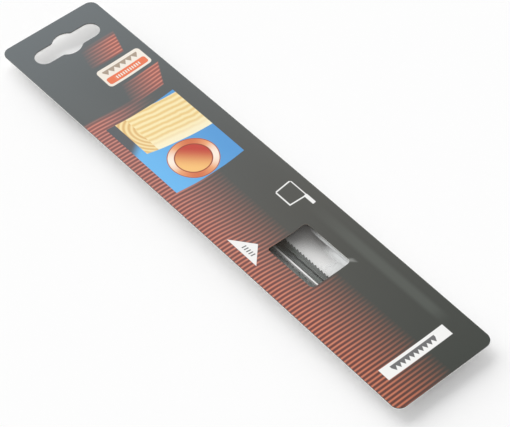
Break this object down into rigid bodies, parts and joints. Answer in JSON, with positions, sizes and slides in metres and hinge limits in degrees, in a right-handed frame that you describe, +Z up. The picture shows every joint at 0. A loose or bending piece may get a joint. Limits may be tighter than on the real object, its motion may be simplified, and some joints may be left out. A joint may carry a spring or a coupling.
{
  "type": "coping saw blade pack",
  "caption": "Flat sealed hang pack of pinned coping saw blades: a striped gloss front with a long hang slot and a clear window, and a shallow white tray behind it.",
  "frame": {"origin": "under the middle of the pack, on the surface that its tray rests on", "axes": "+X across the pack, +Y along it towards the hang slot, +Z up out of the printed face"},
  "size_m": [0.05, 0.255, 0.0068],
  "materials": {
    "printed_front": "gloss print on thin plastic sheet",
    "white_back": "satin white sheet",
    "clear_film": "clear gloss film",
    "blade_steel": "hardened, dark, oiled",
    "pin_steel": "plain drawn"
  },
  "bodies": {
    "root": {"front_card": "printed_front", "back_card": "white_back", "window_film": "clear_film", "blade_1": "blade_steel", "pin_1_hang": "pin_steel", "pin_1_end": "pin_steel", "blade_2": "blade_steel", "pin_2_hang": "pin_steel", "pin_2_end": "pin_steel", "blade_3": "blade_steel", "pin_3_hang": "pin_steel", "pin_3_end": "pin_steel", "blade_4": "blade_steel", "pin_4_hang": "pin_steel", "pin_4_end": "pin_steel", "blade_5": "blade_steel", "pin_5_hang": "pin_steel", "pin_5_end": "pin_steel"}
  },
  "joints": []
}
